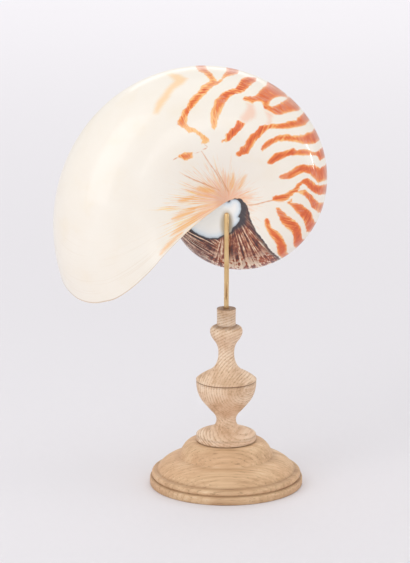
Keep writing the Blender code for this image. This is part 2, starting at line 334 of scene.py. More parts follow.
def septaTree(nacre):
    # one dished septum, then its smaller copies back along the spiral
    sizes = shellSizes
    septa = septaSizes
    tree, add, given = newTree(
        "nautilusSepta",
        {"Septa": ("Int", septa["count"]), "Bow": ("Float", septa["bow"])},
        {"Geometry": "Geometry"},
    )
    grid, along, across, back = addLoopGrid(add, septa["rows"], septa["columns"])
    firstRow = 1.0 / (septa["rows"] - 1)
    radiusValue = sizes["radiusAtRight"] * math.exp(sizes["growth"] * septa["lastAngle"])
    innerValue = radiusValue * math.exp(-sizes["growth"] * whorl)
    # the first row closes the sawn edge, so the dish starts on the second
    row = add(mapRange, (along, firstRow))
    callus = min(sizes["innerCallus"] * radiusValue, sizes["callus"])
    ends = []
    for skinRadius, corner, inset in ((innerValue, septa["innerCorner"], 0.4 * mm),
                                      (radiusValue, septa["outerCorner"], 0.8 * sizes["wall"])):
        share = add(maths, (row, corner), **times)
        section = add("GeometryNodeGroup",
                      {"Radius": skinRadius, "Share": share, "Callus": callus, "Inset": inset}, **sectionGroup)
        ends.append(section.node.outputs)
    distance = add(mix, {0: across, 2: ends[0]["Distance"], 3: ends[1]["Distance"]}, **numberMix)
    height = add(mix, {0: across, 2: ends[0]["Height"], 3: ends[1]["Height"]}, **numberMix)
    other = add(maths, (1.0, across), **minus)
    product = add(maths, (across, other), **times)
    rowSquare = add(maths, (row, row), **times)
    rowLeft = add(maths, (1.0, rowSquare), **minus)
    dish = add(maths, (product, rowLeft), **times)
    bow = add(maths, (given["Bow"], -4.0), **times)
    bowed = add(maths, (dish, bow, septa["lastAngle"]), **timesPlus)
    # both skins meet on the first row and at the corner
    opened = add(mapRange, (along, 0.0, firstRow))
    closing = add(mapRange, (along, 1.0, 1.0 - firstRow))
    spread = add(maths, (opened, closing), **times)
    side = add(maths, (back, 0.5), **minus)
    offset = add(maths, (side, spread), **times)
    angle = add(maths, (offset, septa["thickness"], bowed), **timesPlus)
    point = add("GeometryNodeGroup", {"Angle": angle, "Distance": distance, "Height": height}, **placeGroup)
    shaped = add("GeometryNodeSetPosition", {"Geometry": grid, "Position": point})
    welded = add("GeometryNodeMergeByDistance", {"Geometry": shaped, "Distance": weldGap})
    points = add("GeometryNodeMeshLine", {"Count": given["Septa"], "Start Location": shellCentre,
                                          "Offset": (0.0, 0.0, 0.0)})
    index = add("GeometryNodeInputIndex")
    turn = add(maths, (index, septa["step"]), **times)
    rotation = add(combine, (0.0, turn, 0.0))
    shrink = add(maths, (index, -sizes["growth"] * septa["step"]), **times)
    scale = add(maths, (shrink,), operation="EXPONENT")
    copies = add("GeometryNodeInstanceOnPoints",
                 {"Points": points, "Instance": welded, "Rotation": rotation, "Scale": scale})
    realized = add("GeometryNodeRealizeInstances", {"Geometry": copies})
    pearly = add("GeometryNodeSetMaterial", {"Geometry": realized, "Material": nacre})
    add("NodeGroupOutput", {"Geometry": pearly})
    return tree


def siphuncleTree(horn):
    # the half tube that the saw left, swelling in every chamber
    sizes = shellSizes
    tube = siphuncleSizes
    tree, add, given = newTree(
        "nautilusSiphuncle",
        {"Place": ("Float", tube["place"]), "Radius": ("Float", tube["radius"])},
        {"Geometry": "Geometry"},
    )
    grid, along, share, inner = addLoopGrid(add, tube["rows"], tube["columns"])
    firstAngle = septaSizes["lastAngle"] - tube["length"] * septaSizes["step"]
    lastAngle = septaSizes["lastAngle"] - tube["stump"]
    angle = add(mapRange, (along, 0.0, 1.0, firstAngle, lastAngle))
    power = add(maths, (angle, sizes["growth"]), **times)
    grown = add(maths, (power,), operation="EXPONENT")
    radius = add(maths, (grown, sizes["radiusAtRight"]), **times)
    # one swelling for each chamber, narrow where it passes a septum
    fromSeptum = add(maths, (angle, septaSizes["lastAngle"] - septaSizes["bow"]), **minus)
    phase = add(maths, (fromSeptum, math.pi / septaSizes["step"]), **times)
    wave = add(maths, (phase,), operation="SINE")
    swell = add(maths, (wave,), operation="ABSOLUTE")
    swollen = add(maths, (swell, 0.34, 0.82), **timesPlus)
    ends = add(mapRange, (along, 1.0, 0.998))
    thin = add(mix, {0: inner, 2: 1.0, 3: 0.6}, **numberMix)
    thinEnd = add(mix, {0: ends, 2: 0.8, 3: thin}, **numberMix)
    tubeRadius = add(maths, (radius, given["Radius"]), **times)
    tubeSwollen = add(maths, (tubeRadius, swollen), **times)
    skin = add(maths, (tubeSwollen, thinEnd), **times)
    turn = add(maths, (share, math.pi), **times)
    cosine = add(maths, (turn,), operation="COSINE")
    sine = add(maths, (turn,), operation="SINE")
    centre = add(maths, (radius, given["Place"]), **times)
    distance = add(maths, (cosine, skin, centre), **timesPlus)
    height = add(maths, (sine, skin), **times)
    point = add("GeometryNodeGroup", {"Angle": angle, "Distance": distance, "Height": height}, **placeGroup)
    shaped = add("GeometryNodeSetPosition", {"Geometry": grid, "Position": point})
    stored = add("GeometryNodeStoreNamedAttribute", {"Geometry": shaped, "Name": "swell", "Value": swell},
                 **pointFloat)
    moved = add("GeometryNodeTransform", {"Geometry": stored, "Translation": shellCentre})
    finishTree(add, moved, ((horn, None),))
    return tree


def spiralRadius(angle):
    return shellSizes["radiusAtRight"] * np.exp(shellSizes["growth"] * angle)


def skinPoints(angles, shares):
    # points of the outside, for the marks that are laid on it
    sizes = shellSizes
    radius = spiralRadius(angles)
    turn = np.minimum(shares, 0.5) * np.pi
    fall = np.minimum(1.0, 2.0 - 2.0 * shares)
    rise = np.sin(fall * np.pi / 2.0) ** sizes["flankPower"]
    place = sizes["breadthPlace"]
    distance = radius * (place * fall + (1.0 - place) * np.cos(turn))
    height = np.sin(turn) * (sizes["callus"] + (sizes["breadth"] * radius - sizes["callus"]) * rise)
    across = sizes["axisX"] + distance * np.cos(angles)
    up = sizes["axisZ"] + distance * np.sin(angles)
    return np.stack([across, sizes["cutY"] - height, up], axis=-1)


# Marks on the outside, as outlines of (angle in degrees, share from the venter to the axis)

flames = {
    "first": ((105, -0.12), (100.5, -0.12), (99, 0.078), (97, 0.125), (96, 0.165), (95, 0.19), (93, 0.165),
              (92, 0.128), (90.5, 0.075), (90.5, -0.12), (84.5, -0.12), (85.5, 0.08), (88.5, 0.115), (91.5, 0.148),
              (93, 0.182), (95, 0.208), (98, 0.232), (100.5, 0.262), (102.5, 0.283), (105, 0.305), (107.5, 0.325),
              (111.5, 0.352), (115, 0.39), (116, 0.408), (115.5, 0.425), (113, 0.438), (109, 0.475), (106.5, 0.49),
              (105.5, 0.508), (107, 0.528), (112, 0.528), (110.5, 0.505), (111, 0.48), (113, 0.458), (117, 0.45),
              (118, 0.432), (120, 0.413), (121, 0.395), (119, 0.378), (116.5, 0.362), (114.5, 0.34),
              (112.5, 0.335), (110.5, 0.308), (108, 0.28), (104.5, 0.258), (102, 0.218), (98, 0.19), (99, 0.155),
              (100.5, 0.115), (102.5, 0.098)),
    "second": ((83, 0.112), (80.5, 0.078), (76.5, 0.045), (77, 0.103), (79, 0.152), (80.5, 0.192), (82.5, 0.23),
               (86, 0.252), (89, 0.275), (91, 0.308), (92.5, 0.335), (95.5, 0.385), (98, 0.44), (100, 0.462),
               (101, 0.445), (101, 0.415), (100.5, 0.385), (99.5, 0.358), (98, 0.338), (97, 0.308), (95, 0.292),
               (93.5, 0.268), (91.5, 0.25), (89, 0.235), (86.5, 0.218), (85, 0.185), (84, 0.143)),
    "third": ((82, 0.268), (81, 0.252), (78.5, 0.24), (77, 0.238), (75, 0.208), (74, 0.173), (72.5, 0.122),
              (71.5, 0.095), (70.5, -0.12), (62.5, -0.12), (60, 0.068), (62, 0.09), (64, 0.122), (66.5, 0.17),
              (67.5, 0.198), (68, 0.24), (66, 0.238), (64.5, 0.222), (63, 0.19), (61.5, 0.15), (60, 0.103),
              (59.5, 0.072), (57.5, -0.12), (50.5, -0.12), (51.5, 0.085), (53.5, 0.13), (56, 0.178), (58, 0.215),
              (59.5, 0.242), (62, 0.265), (67, 0.268), (69.5, 0.272), (71.5, 0.24), (74, 0.242), (76.5, 0.275),
              (79, 0.272), (81, 0.28)),
    "fourth": ((83.5, 0.392), (81.5, 0.4), (78.5, 0.402), (79.5, 0.422), (82, 0.452), (84.5, 0.473), (87, 0.495),
               (90, 0.518), (93.5, 0.522), (96, 0.535), (95, 0.512), (91.5, 0.498), (91.5, 0.475), (89, 0.465),
               (88.5, 0.445), (85.5, 0.438), (84.5, 0.415)),
    "fifth": ((50, 0.182), (50.5, 0.17), (49.5, 0.125), (47, -0.12), (42, -0.12), (45, 0.152), (47, 0.202),
              (50.5, 0.262), (54.5, 0.308), (58, 0.332), (61.5, 0.352), (63.5, 0.378), (65.5, 0.43), (67, 0.46),
              (68.5, 0.515), (69.5, 0.562), (73.5, 0.582), (77, 0.61), (81, 0.61), (81.5, 0.592), (78, 0.572),
              (78.5, 0.542), (74.5, 0.51), (74.5, 0.482), (72.5, 0.44), (70, 0.42), (69, 0.388), (67.5, 0.368),
              (64.5, 0.352), (61, 0.322), (58, 0.302), (55, 0.268), (54, 0.242), (51.5, 0.205)),
    "sixth": ((41, 0.17), (39, 0.11), (38, -0.12), (31, -0.12), (33.5, 0.15), (36, 0.215), (38.5, 0.25),
              (41, 0.278), (44, 0.305), (47, 0.332), (50, 0.358), (52.5, 0.382), (54, 0.408), (56.5, 0.455),
              (58.5, 0.48), (60, 0.482), (60.5, 0.46), (59.5, 0.43), (57.5, 0.402), (54.5, 0.355), (52, 0.332),
              (50, 0.31), (48.5, 0.292), (47, 0.292), (45, 0.265), (43, 0.23), (41.5, 0.208)),
    "seventh": ((47, 0.515), (43, 0.492), (42.5, 0.465), (41, 0.432), (40, 0.398), (37.5, 0.358), (35, 0.32),
                (32.5, 0.285), (29, 0.218), (27, 0.17), (23.5, 0.158), (21.5, -0.12), (27, -0.12), (29, 0.173),
                (30.5, 0.208), (33, 0.232), (36.5, 0.28), (38.5, 0.325), (40.5, 0.325), (43, 0.378),
                (45.5, 0.41), (48, 0.435), (48.5, 0.482), (48, 0.51)),
    "eighth": ((30, 0.488), (27.5, 0.488), (25.5, 0.475), (23, 0.435), (22.5, 0.41), (23, 0.38), (23, 0.342),
               (22, 0.312), (20.5, 0.292), (18, 0.27), (15, 0.242), (12, 0.212), (11.5, 0.19), (9, -0.12),
               (18, -0.12), (19.5, 0.175), (22.5, 0.218), (24.5, 0.228), (23.5, 0.245), (25, 0.278),
               (27.5, 0.31), (28.5, 0.335), (29, 0.365), (28.5, 0.395), (28.5, 0.422), (29, 0.458)),
    "ninth": ((8.5, 0.572), (4, 0.57), (3, 0.515), (2.5, 0.475), (4, 0.448), (7, 0.428), (9.5, 0.402),
              (10.5, 0.38), (14, 0.365), (15, 0.345), (13.5, 0.322), (10.5, 0.302), (7.5, 0.272), (5.5, 0.235),
              (3.5, 0.19), (0, -0.12), (5.5, -0.12), (8.5, 0.132), (9, 0.182), (10.5, 0.225), (13, 0.255),
              (16.5, 0.292), (18, 0.318), (17.5, 0.338), (16, 0.385), (13.5, 0.405), (12, 0.438),
              (10.5, 0.462), (9.5, 0.495), (10, 0.542)),
    "tenth": ((9.5, 0.385), (10, 0.352), (9.5, 0.322), (7, 0.305), (4, 0.258), (2, 0.248), (-2, 0.17),
              (-5.5, -0.12), (-12, -0.12), (-8.5, 0.14), (-6, 0.2), (-4, 0.25), (-1, 0.268), (2.5, 0.3),
              (5, 0.328), (8, 0.358)),
    "eleventh": ((1, 0.448), (4.5, 0.418), (2.5, 0.418), (1, 0.428), (0, 0.388), (-1, 0.345), (-3, 0.322),
                 (-5.5, 0.278), (-8.5, 0.228), (-12, 0.192), (-15.5, 0.125), (-17, -0.12), (-24, -0.12),
                 (-22.5, 0.17), (-18.5, 0.228), (-15, 0.268), (-12, 0.305), (-9, 0.348), (-5.5, 0.385), (-2, 0.415)),
    "twelfth": ((-5.5, 0.518), (-5, 0.492), (-7.5, 0.473), (-9.5, 0.445), (-12, 0.43), (-13, 0.395),
                (-15.5, 0.352), (-17.5, 0.31), (-20, 0.27), (-24, 0.23), (-28.5, 0.162), (-30.5, -0.12),
                (-39.5, -0.12), (-35.5, 0.188), (-31.5, 0.24), (-27, 0.292), (-24.5, 0.34), (-23.5, 0.378),
                (-21.5, 0.422), (-17.5, 0.458), (-13, 0.485), (-9, 0.505)),
    "thirteenth": ((-21.5, 0.572), (-22, 0.542), (-24.5, 0.51), (-29.5, 0.485), (-30.5, 0.45), (-31, 0.402),
                   (-33.5, 0.35), (-36, 0.3), (-39, 0.235), (-42.5, 0.18), (-44.5, -0.12), (-49, -0.12),
                   (-47.5, 0.238), (-44, 0.302), (-41, 0.345), (-39.5, 0.395), (-38, 0.442), (-35, 0.482),
                   (-31, 0.528), (-26.5, 0.57)),
    "spot": ((133.5, 0.535), (128, 0.542), (122, 0.565), (125, 0.598), (131.5, 0.59)),
}
palePatches = {
    "faded": ((116, 0.052), (111, 0.103), (107.5, 0.16), (110, 0.192), (115, 0.218), (119, 0.262), (122.5, 0.285),
              (126.5, 0.312), (128.5, 0.3), (124, 0.248), (120.5, 0.225), (116, 0.178), (113.5, 0.158)),
    "upperRose": ((80, 0.285), (76, 0.278), (74, 0.302), (73, 0.325), (73, 0.35), (76, 0.378), (78.5, 0.4),
                  (81.5, 0.392), (82.5, 0.38), (80, 0.34), (79, 0.312)),
    "lowerRose": ((69.5, 0.278), (64.5, 0.27), (63, 0.278), (63, 0.302), (62, 0.33), (63, 0.365), (65, 0.352),
                  (65, 0.318), (67.5, 0.298)),
}
darkFilm = {
    "film": ((26, 0.955), (17.5, 0.885), (2, 0.84), (-10.5, 0.802), (-22.5, 0.765), (-35, 0.705), (-41.5, 0.63),
             (-46, 0.518), (-47.5, 0.422), (-49, 0.328), (-49, 0.192), (-51, -0.12), (-190, -0.12), (-190, 0.99),
             (26, 0.99)),
}
pearlWindow = {
    "window": ((-190, 0.30), (-150, 0.335), (-138.5, 0.362), (-134, 0.378), (-126.5, 0.408), (-119, 0.43),
               (-110, 0.47), (-104, 0.492), (-97.5, 0.55), (-84, 0.61), (-80.5, 0.665), (-70.5, 0.7),
               (-61, 0.732), (-54, 0.765), (-57, 0.785), (-50.5, 0.802), (-40, 0.82), (-25, 0.848), (-8.5, 0.875),
               (9, 0.905), (24, 0.97), (-190, 0.99)),
}
scratches = {
    # thin lines from the umbilicus: (angle, share, half width in mm)
    "upper": ((115, 0.572, 0.05), (112, 0.70, 0.14), (105, 0.85, 0.08), (97, 0.92, -0.1)),
    "left": ((143, 0.66, 0.0), (140, 0.76, 0.2), (132, 0.86, 0.16), (119.5, 0.91, -0.1)),
    "top": ((108, 0.738, 0.05), (100, 0.86, 0.14), (87.5, 0.922, 0.05)),
    "right": ((4.5, 0.57, 0.2), (1.5, 0.658, 0.16), (-7, 0.785, 0.1)),
    "spotStem": ((139, 0.535, 0.1), (133, 0.55, 0.3)),
    "fromStripe": ((110.5, 0.53, 0.1), (109, 0.56, 0.15), (117, 0.575, 0.15), (124, 0.57, 0.2)),
}
glows = {
    # deeper orange among the rays
    "one": ((150, 0.79, 0.9), (145, 0.84, 1.5), (138, 0.88, 0.6)),
    "two": ((173, 0.72, 0.4), (171, 0.75, 1.4), (166, 0.80, 0.6)),
    "three": ((191, 0.70, 0.4), (190, 0.75, 1.6), (188, 0.82, 0.7)),
    "four": ((205, 0.68, 0.3), (204, 0.74, 1.6), (203, 0.82, 0.8)),
    "five": ((213, 0.60, 0.2), (211, 0.66, 0.8), (209, 0.74, 0.4)),
    "six": ((59, 0.72, 0.3), (58, 0.77, 0.9), (52, 0.85, 0.5)),
    "seven": ((80, 0.76, 0.2), (76, 0.82, 0.7), (72, 0.88, 0.4)),
}


# the parts of the outside that carry marks, in degrees, and the distance given to points beyond them, in mm
markRange = {"start": -166.0, "end": 160.0, "filmEnd": 40.0, "linesStart": -20.0, "beyond": 30.0, "deepInFilm": -20.0}


def smoothLine(points, step=0.02):
    # a smooth curve through given points, read often enough to measure distances from
    points = np.array(points, float)
    padded = np.vstack([2 * points[0] - points[1], points, 2 * points[-1] - points[-2]])
    result = []
    for before, start, end, after in zip(padded[:-3], padded[1:-2], padded[2:-1], padded[3:]):
        t = np.arange(0.0, 1.0, step)[:, None]
        bend = (2 * before - 5 * start + 4 * end - after) * t ** 2
        twist = (3 * start - before - 3 * end + after) * t ** 3
        result.append(start + 0.5 * ((end - before) * t + bend + twist))
    return np.vstack(result + [points[-1:]])


def distanceTo(places, samples, widths):
    # the least distance to the samples less their half widths, in mm
    nearest = np.full(len(places), 50.0)
    for first in range(0, len(places), 4000):
        part = places[first:first + 4000]
        gap = np.linalg.norm(part[:, None, :] - samples[None, :, :], axis=-1) / mm - widths[None, :]
        nearest[first:first + 4000] = gap.min(axis=1)
    return nearest


def lineDistance(places, line):
    smooth = smoothLine(line)
    samples = skinPoints(np.radians(smooth[:, 0]), np.clip(smooth[:, 1], 0.0, 1.0))
    return distanceTo(places, samples, smooth[:, 2])


def outlineDistance(places, angles, shares, outline):
    # distance in mm to an outline on the shell, less than nothing inside it
    corners = np.array(outline, float)
    ends = np.roll(corners, -1, axis=0)
    inside = np.zeros(len(places), bool)
    for (angle, share), (nextAngle, nextShare) in zip(corners, ends):
        crosses = (nextShare > shares) != (share > shares)
        if share != nextShare:
            meeting = (nextAngle - angle) * (shares - share) / (nextShare - share) + angle
            inside ^= crosses & (angles < meeting)
    steps = np.arange(0.0, 1.0, 0.04)[None, :, None]
    samples = (corners[:, None, :] * (1.0 - steps) + ends[:, None, :] * steps).reshape(-1, 2)
    edge = skinPoints(np.radians(samples[:, 0]), samples[:, 1])
    distance = distanceTo(places, edge, np.zeros(len(edge)))
    return np.where(inside, -distance, distance)


def nearestOutline(places, angles, shares, outlines):
    nearest = np.full(len(places), markRange["beyond"])
    for outline in outlines.values():
        low = min(angle for angle, share in outline) - 12.0
        high = max(angle for angle, share in outline) + 12.0
        near = (angles > low) & (angles < high)
        found = outlineDistance(places[near], angles[near], shares[near], outline)
        nearest[near] = np.minimum(nearest[near], found)
    return nearest


def readField(mesh, name):
    values = np.zeros(len(mesh.vertices), np.float32)
    mesh.attributes[name].data.foreach_get("value", values)
    return values


def writeField(mesh, name, values):
    field = mesh.attributes.new(name, "FLOAT", "POINT")
    field.data.foreach_set("value", values.astype(np.float32))


def markShell(piece):
    # stores, for each point of the outside, how far it lies from the edge of each kind of mark
    mesh = piece.data
    places = np.zeros(len(mesh.vertices) * 3, np.float32)
    mesh.vertices.foreach_get("co", places)
    places = places.reshape(-1, 3).astype(float)
    angles = np.degrees(readField(mesh, "angle"))
    shares = readField(mesh, "share")
    outer = readField(mesh, "innerSkin") < 0.5
    shown = outer & (angles > markRange["start"]) & (angles < markRange["end"])
    early = outer & (angles > markRange["start"]) & (angles < markRange["filmEnd"])
    for name, outlines, chosen in (("stripe", flames, shown), ("palePatch", palePatches, shown),
                                   ("film", darkFilm, early), ("window", pearlWindow, early)):
        values = np.full(len(places), markRange["beyond"])
        values[chosen] = nearestOutline(places[chosen], angles[chosen], shares[chosen], outlines)
        if name == "film":
            values[outer & (angles <= markRange["start"])] = markRange["deepInFilm"]
        writeField(mesh, name, values)
    late = outer & (angles > markRange["linesStart"])
    for name, lines in (("scratch", scratches), ("glow", glows)):
        values = np.full(len(places), markRange["beyond"])
        values[late] = np.minimum.reduce([lineDistance(places[late], line) for line in lines.values()])
        writeField(mesh, name, values)


# Shell materials


porcelainLook = {
    "fields": ("angle", "share", "axisDistance", "lipGap",
               "stripe", "palePatch", "film", "window", "scratch", "glow"),
    # noises drawn out over the shell's own angle and share:
    # (streaks to a radian, streaks from the venter to the axis, detail, roughness, shift)
    "streaks": {
        "growthRound": (7.0, 120.0, 4.0, 0.6, 0.0),
        "growthFlank": (75.0, 7.0, 4.0, 0.6, 0.0),
        "broadRays": (9.0, 3.0, 3.0, 0.5, 4.0),
        "fineRays": (44.0, 4.0, 5.0, 0.7, 9.0),
        "toneRays": (23.0, 3.0, 4.0, 0.6, 17.0),
        "filmRays": (26.0, 4.0, 5.0, 0.62, 2.0),
    },
    # the same in all directions: (size in mm, detail, roughness)
    "clouds": {
        "wide": (18.18, 3.0, 0.5),
        "fine": (1.923, 3.0, 0.5),
        "wornPlace": (13.33, 1.0, 0.5),
        "blotches": (5.882, 4.0, 0.65),
    },
    "cream": ((0.3, "#F7F0E5"), (0.55, "#F6EEE2"), (0.75, "#F5EBDB")),
    "lipLine": "#EBDDCB",
    "lipEdge": "#CFB294",
    # a painted shade line along the lip's edge
    "ray": ((0.48, "#F7CDB4"), (0.57, "#F5AE84"), (0.65, "#FAD7AE"), (0.73, "#F6A962"), (0.82, "#FCDDA0"),
            (0.95, "#FAC578")),
    "glow": "#F9B663",
    "pale": ((0.0, "#F6CFB8"), (1.0, "#FAD3A2")),
    "scratch": "#E0985C",
    "flame": ((0.0, "#FCC584"), (0.14, "#F59C50"), (0.34, "#E97334"), (0.62, "#DC5D24"), (1.0, "#C24A1C")),
    "worn": "#EBA98A",
    # the flames near the venter, muted rose as a painted sheen
    "sheenedRose": ((0.0, "#EDBCA4"), (0.45, "#DC977C"), (1.0, "#C4765C")),
    "film": ((0.32, "#2C1F22"), (0.42, "#612F26"), (0.50, "#964B33"), (0.57, "#C5906C"), (0.66, "#F5E0C8")),
    "rust": ((0.80, "#402525"), (0.90, "#8A3B24"), (0.98, "#C65B2E"), (1.05, "#DBA67E"), (1.12, "#F9E8D2")),
    "filmEdge": "#35333A",
    "window": ((0.0, "#FCFAF5"), (0.45, "#F7F7F5"), (0.75, "#E4ECF2"), (0.9, "#C0CCD6"), (1.0, "#5A6068")),
    # a painted shadow and reflection of the brass rod on the pearl window
    "windowRodShadow": "#B9A784",
    "forkTip": 168.0 * mm,
    "roughness": 0.38,
    "ior": 1.53,                    # aragonite in its horny matrix
    "coat": 0.38,                   # the polish
    "coatRoughness": 0.04,
    "growthRelief": 0.34,
    "growthDepth": 0.12 * mm,
}


def porcelainLayer():
    # polished outer layer: warm cream with orange flames and rays from the umbilicus, deep soft gloss
    look = porcelainLook
    material, add = newMaterial("polishedPorcelainLayer")
    fields = {name: add(attribute, out=2, attribute_name=name) for name in look["fields"]}
    angle, share = fields["angle"], fields["share"]
    place = add(coordinates, out=3)
    chart = add(combine, (angle, share, 0.0))
    noises = {}
    for name, (along, across, detail, roughness, shift) in look["streaks"].items():
        stretched = add(vectorMaths, (chart, (along, across, 1.0), (shift, 0.0, 0.0)), **timesPlus)
        noises[name] = add(noise, {"Vector": stretched, "Scale": 1.0, "Detail": detail, "Roughness": roughness})
    for name, (size, detail, roughness) in look["clouds"].items():
        noises[name] = add(noise, {"Vector": place, "Scale": perMetre(size), "Detail": detail,
                                   "Roughness": roughness})

    # growth lines: round the shell near the rim, and outwards from the axis on the flank. The real ones are
    # about 0.2 mm apart and too fine to show, so they are drawn at about 0.7 mm
    onFlank = add(mapRange, (share, 0.24, 0.38), **softStep)
    growth = add(mix, {0: onFlank, 2: noises["growthRound"], 3: noises["growthFlank"]}, **numberMix)
    growthPush = add(maths, (growth, 0.5), **minus)
    finePush = add(maths, (noises["fine"], 0.5), **minus)

    # flames, frayed along the growth lines, with a thin yellow edge and paler and darker streaks inside
    frayed = add(maths, (growthPush, 2.4, fields["stripe"]), **timesPlus)
    ragged = add(maths, (finePush, 1.3, frayed), **timesPlus)
    flameMask = add(mapRange, (ragged, 0.55, -0.15), **softStep)
    depth = add(mapRange, (ragged, 0.55, -2.0, 0.0, 0.6))
    inked = add(maths, (growthPush, 2.8, depth), **timesPlus)
    warmInk = add(maths, (noises["wide"], 0.5), **minus)
    inked = add(maths, (warmInk, 0.8, inked), **timesPlus)
    older = add(mapRange, (angle, math.radians(100.0), math.radians(88.0), -0.26, 0.0))
    inked = add(maths, (inked, older), operation="ADD")
    flameColour = add(ramp, {"Fac": inked}, stops=look["flame"])
    # in worn places the stripes are cut by paler streaks along the growth lines
    worn = add(mapRange, (noises["wornPlace"], 0.5, 0.6), **softStep)
    cuts = add(mapRange, (growth, 0.48, 0.6, 0.0, 0.8), **softStep)
    wornCuts = add(maths, (worn, cuts), **times)
    flameColour = add(mix, {0: wornCuts, 6: flameColour, 7: linear(look["worn"])}, **colourMix)
    # near the venter the flames turn to muted rose: a painted sheen where the surface turns away from the viewer
    sheenedRose = add(ramp, {"Fac": inked}, stops=look["sheenedRose"])
    rim = add(mapRange, (share, 0.17, 0.05, 0.0, 0.85), **softStep)
    flameWithSheen = add(mix, {0: rim, 6: flameColour, 7: sheenedRose}, **colourMix)

    # the last growth lines before the lip, and a painted shade line along its edge
    cream = add(ramp, {"Fac": noises["wide"]}, stops=look["cream"])
    lipChart = add(combine, (fields["lipGap"], share, 0.0))
    lipStretched = add(vectorMaths, (lipChart, (85.0, 3.0, 1.0)), **times)
    lipLines = add(noise, {"Vector": lipStretched, "Scale": 1.0, "Detail": 3.0})
    lineShare = add(mapRange, (lipLines, 0.55, 0.68, 0.0, 0.4), **softStep)
    nearLip = add(mapRange, (fields["lipGap"], 0.55, 0.1))
    lipShare = add(maths, (lineShare, nearLip), **times)
    lipShadeShare = add(mapRange, (fields["lipGap"], 0.009, 0.002, 0.0, 0.8), **softStep)

    # rays drawn out from the axis, with deeper orange among them
    rayReach = add(mapRange, (angle, math.radians(55.0), math.radians(190.0), 24.0 * mm, 47.0 * mm))
    rayFade = add(maths, (fields["axisDistance"], rayReach), operation="DIVIDE")
    raySum = add(maths, (noises["fineRays"], 3.4, noises["broadRays"]), **timesPlus)
    rayShown = add(maths, (rayFade, -1.2, raySum), **timesPlus)
    rayMask = add(mapRange, (rayShown, 1.35, 1.8), **softStep)
    rayTone = add(maths, (fields["axisDistance"], 9.0, noises["toneRays"]), **timesPlus)
    rayColour = add(ramp, {"Fac": rayTone}, stops=look["ray"])
    glowStreaks = add(maths, (noises["fineRays"], -7.0, fields["glow"]), **timesPlus)
    glowMask = add(mapRange, (glowStreaks, -2.2, -4.6, 0.0, 0.7), **softStep)

    # faded patches and thin scratches
    paleRagged = add(maths, (growthPush, 2.5, fields["palePatch"]), **timesPlus)
    paleMask = add(mapRange, (paleRagged, 1.6, -2.2, 0.0, 0.85), **softStep)
    paleShare = add(mapRange, (angle, math.radians(84.0), math.radians(104.0)))
    paleColour = add(ramp, {"Fac": paleShare}, stops=look["pale"])
    scratchRagged = add(maths, (finePush, 0.5, fields["scratch"]), **timesPlus)
    scratchMask = add(mapRange, (scratchRagged, 0.45, -0.1, 0.0, 0.85), **softStep)

    # the dark film inside the mouth: rays on the right, close curved growth lines on the left
    leftPart = add(mapRange, (angle, math.radians(-96.0), math.radians(-114.0)), **softStep)
    lineBend = add(maths, (angle, math.radians(110.0)), operation="ADD")
    lineBend = add(maths, (lineBend, lineBend), **times)
    lineCount = add(maths, (share, 88.0), **times)
    lineCount = add(maths, (lineBend, 30.0, lineCount), **timesPlus)
    lineVector = add(combine, (lineCount, angle, 3.0))
    curved = add(noise, {"Vector": lineVector, "Scale": 1.0, "Detail": 3.0, "Roughness": 0.55})
    curved = add(maths, (curved, 1.9, -0.5), **timesPlus)
    filmTone = add(mix, {0: leftPart, 2: noises["filmRays"], 3: curved}, **numberMix)
    filmTone = add(maths, (finePush, 0.30, filmTone), **timesPlus)
    filmTone = add(maths, (leftPart, -0.03, filmTone), **timesPlus)
    filmColour = add(ramp, {"Fac": filmTone}, stops=look["film"])
    blotchTone = add(maths, (filmTone, noises["blotches"]), operation="ADD")
    rustColour = add(ramp, {"Fac": blotchTone}, stops=look["rust"])
    nearRim = add(mapRange, (share, 0.42, 0.16, 0.0, 0.85), **softStep)
    rightPart = add(maths, (leftPart, -0.6, 1.0), **timesPlus)
    rustMask = add(maths, (nearRim, rightPart), **times)
    filmRust = add(mix, {0: rustMask, 6: filmColour, 7: rustColour}, **colourMix)
    filmRagged = add(maths, (finePush, 1.6, fields["film"]), **timesPlus)
    filmMask = add(mapRange, (filmRagged, 0.25, -0.25), **softStep)
    darkBand = add(mapRange, (filmRagged, -3.4, -0.3, 0.0, 0.85), **softStep)
    bandReach = add(mapRange, (angle, math.radians(-85.0), math.radians(-50.0), 1.8, 7.5))
    windowNear = add(maths, (fields["window"], bandReach), operation="DIVIDE")
    windowBand = add(mapRange, (windowNear, 1.0, 0.35, 0.0, 0.95), **softStep)
    darkShare = add(maths, (darkBand, windowBand), operation="MAXIMUM")
    filmEdged = add(mix, {0: darkShare, 6: filmRust, 7: linear(look["filmEdge"])}, **colourMix)

    # the pearl window, with a painted shadow and reflection of the brass rod round the fork's tip
    windowRagged = add(maths, (finePush, 0.8, fields["window"]), **timesPlus)
    windowShare = add(mapRange, (windowRagged, -7.0, 0.6))
    windowColour = add(ramp, {"Fac": windowShare}, stops=look["window"])
    windowMask = add(mapRange, (windowRagged, 0.5, 0.0), **softStep)
    fromTip = add(vectorMaths, (place, (0.0, 0.0, look["forkTip"])), **minus)
    drawnIn = add(vectorMaths, (fromTip, (1.0 / (5.2 * mm), 0.0, 1.0 / (11.0 * mm))), **times)
    tipGap = add(vectorMaths, (drawnIn,), out=1, operation="LENGTH")
    rodShadowShare = add(mapRange, (tipGap, 1.0, 0.45, 0.0, 0.8), **softStep)
    windowRodShadow = add(mix, {0: rodShadowShare, 6: windowColour, 7: linear(look["windowRodShadow"])}, **colourMix)

